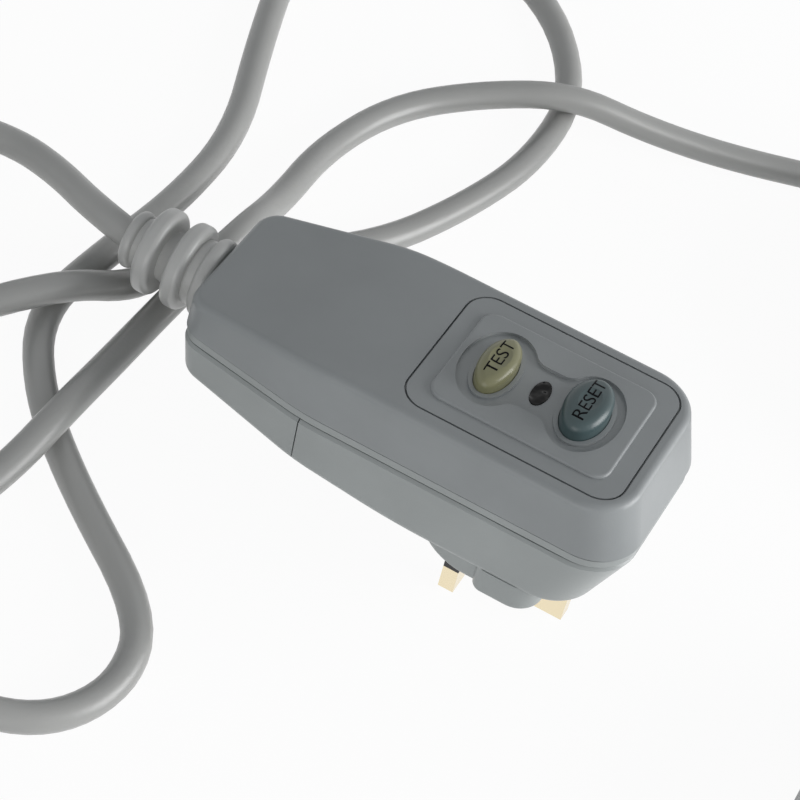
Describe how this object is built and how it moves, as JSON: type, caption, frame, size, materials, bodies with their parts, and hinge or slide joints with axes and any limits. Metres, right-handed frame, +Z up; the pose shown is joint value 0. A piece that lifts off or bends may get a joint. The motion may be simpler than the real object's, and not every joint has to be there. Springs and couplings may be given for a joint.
{
  "type": "rcd extension lead",
  "caption": "Three-pin mains plug with test and reset buttons, a ribbed strain relief, a long looped and coiled flex and a trailing socket.",
  "frame": {"origin": "on the floor under the middle of the plug's length, with the plug standing on its pin tips", "axes": "+X from the cord end towards the plug's head, +Y across the plug, +Z up"},
  "size_m": [0.3345, 0.3289, 0.0688],
  "materials": {
    "case_white": "satin moulded plastic",
    "relief_white": "matt flexible PVC",
    "flex_white": "matt PVC sheath",
    "test_cream": "gloss moulded plastic",
    "reset_blue": "gloss moulded plastic",
    "window_black": "polished",
    "flag_red": "matt",
    "pin_brass": "polished",
    "sleeve_black": "satin",
    "steel": "plain",
    "contact_brass": "plain",
    "fuse_body": "glazed",
    "carrier_white": "satin moulded plastic",
    "board_green": "solder resist",
    "black_plastic": "matt",
    "winding": "enamelled winding",
    "ring_blue": "epoxy coat",
    "inner_plastic": "matt",
    "core_colours": "PVC insulation"
  },
  "bodies": {
    "plug_and_lead": {"top_cover": "case_white", "chassis": "case_white", "lower_housing": "case_white", "wiring_cover": "case_white", "body_screws": "steel", "cover_screws": "steel", "live_pin": "pin_brass", "neutral_pin": "pin_brass", "earth_pin": "pin_brass", "pin_sleeves": "sleeve_black", "fuse_clips": "contact_brass", "button_panel": "case_white", "indicator_window": "window_black", "test_spring": "steel", "reset_spring": "steel", "circuit_board": "board_green", "test_switch": "black_plastic", "trip_solenoid": "winding", "sensing_transformer": "ring_blue", "fixed_contacts": "contact_brass", "terminal_block": "inner_plastic", "terminal_screws": "steel", "cord_clamp": "inner_plastic", "clamp_screws": "steel", "cord_inner": "flex_white", "cord_cores": "core_colours", "strain_relief": "relief_white", "cord_free": "flex_white", "cord_coil": "flex_white", "cord_tail": "flex_white", "socket_base": "case_white", "socket_front": "case_white", "socket_screws": "steel", "socket_contacts": "contact_brass", "socket_grip": "relief_white", "socket_cord": "flex_white", "socket_clamp": "inner_plastic"},
    "test_button": {"test_button": "test_cream"},
    "reset_button": {"reset_button": "reset_blue"},
    "contact_bridge": {"contact_bridge": "inner_plastic", "moving_contacts": "contact_brass"},
    "flag": {"indicator_flag": "flag_red"},
    "plunger": {"solenoid_plunger": "steel"},
    "fuse_carrier": {"fuse_carrier": "carrier_white", "fuse": "fuse_body"},
    "shutter": {"socket_shutter": "inner_plastic"}
  },
  "joints": [
    {"name": "test_press", "type": "slide", "parent": "plug_and_lead", "child": "test_button", "axis": [0.2413, 0, -0.9705], "range_m": [0, 0.0015], "stiffness_N_per_m": 300, "springref_m": -0.004, "deforming": ["test_spring"]},
    {"name": "reset_press", "type": "slide", "parent": "plug_and_lead", "child": "reset_button", "axis": [0.2413, 0, -0.9705], "range_m": [0, 0.002], "stiffness_N_per_m": 400, "springref_m": -0.004, "deforming": ["reset_spring"]},
    {"name": "bridge_drop", "type": "slide", "parent": "plug_and_lead", "child": "contact_bridge", "axis": [0.2413, 0, -0.9705], "range_m": [0, 0.002]},
    {"name": "flag_shift", "type": "slide", "parent": "plug_and_lead", "child": "flag", "axis": [0, 1, 0], "range_m": [0, 0.0045]},
    {"name": "plunger_shift", "type": "slide", "parent": "plug_and_lead", "child": "plunger", "axis": [0.9705, 0, 0.2413], "range_m": [0, 0.002], "stiffness_N_per_m": 120, "springref_m": -0.003},
    {"name": "carrier_draw", "type": "slide", "parent": "plug_and_lead", "child": "fuse_carrier", "axis": [0.2413, 0, -0.9705], "range_m": [0, 0.0095]},
    {"name": "shutter_shift", "type": "slide", "parent": "plug_and_lead", "child": "shutter", "axis": [0, 1, 0], "range_m": [0, 0.007], "stiffness_N_per_m": 60, "springref_m": -0.003}
  ],
  "couplings": [
    {"joint": "bridge_drop", "follows": "reset_press", "ratio": 1},
    {"joint": "flag_shift", "follows": "reset_press", "ratio": 2.25}
  ]
}
